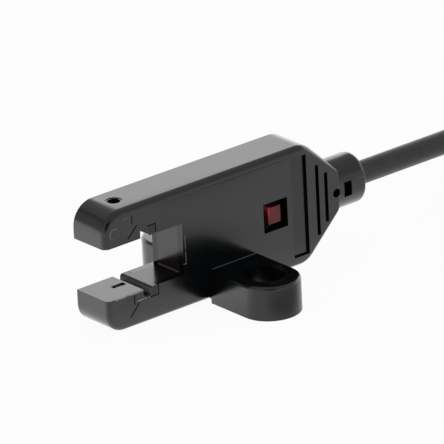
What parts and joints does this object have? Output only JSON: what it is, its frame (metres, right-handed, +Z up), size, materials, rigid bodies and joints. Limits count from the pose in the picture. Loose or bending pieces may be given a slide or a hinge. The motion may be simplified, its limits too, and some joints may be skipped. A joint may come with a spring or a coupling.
{
  "type": "fork sensor",
  "caption": "U-shaped light barrier in a slim black case, with a slot between its arms, mounting ears, an indicator lamp and a fixed cable that ends in bare leads.",
  "frame": {"origin": "midway between the mounting holes, on the plane that the ears stand on", "axes": "+X from the fork tips towards the cable, -Y the front face with the lamp, +Z up from the mounting plane"},
  "size_m": [0.0746, 0.0401, 0.0121],
  "materials": {
    "case_plastic": "satin black moulding",
    "liner_plastic": "smooth black moulding that passes infrared",
    "board": "green board",
    "chip_plastic": "black epoxy",
    "ceramic": "tan ceramic",
    "lamp_base": "white",
    "red_lens": "clear red",
    "clear_epoxy": "water clear",
    "dark_epoxy": "dark, passes infrared",
    "tinned_metal": "tinned",
    "steel": "plain",
    "cable_jacket": "matt black",
    "tie_plastic": "matt black",
    "brown_core": "brown",
    "black_core": "black",
    "blue_core": "blue",
    "pink_core": "pink"
  },
  "bodies": {
    "root": {"case": "case_plastic", "rear_cover": "case_plastic", "slot_liner": "liner_plastic", "circuit_board": "board", "control_chip": "chip_plastic", "output_transistor": "chip_plastic", "chip_resistors": "chip_plastic", "chip_capacitors": "ceramic", "indicator_lamp": "lamp_base", "indicator_lens": "red_lens", "emitter": "clear_epoxy", "emitter_leads": "tinned_metal", "receiver": "dark_epoxy", "receiver_leads": "tinned_metal", "solder_joints": "tinned_metal", "core_brown": "brown_core", "core_black": "black_core", "core_blue": "blue_core", "core_pink": "pink_core", "cable_clamp": "steel", "cable": "cable_jacket", "cable_coil": "cable_jacket", "coil_tie": "tie_plastic", "cable_tail": "cable_jacket", "lead_brown": "brown_core", "lead_black": "black_core", "lead_blue": "blue_core", "lead_pink": "pink_core", "bare_ends": "tinned_metal"}
  },
  "joints": []
}
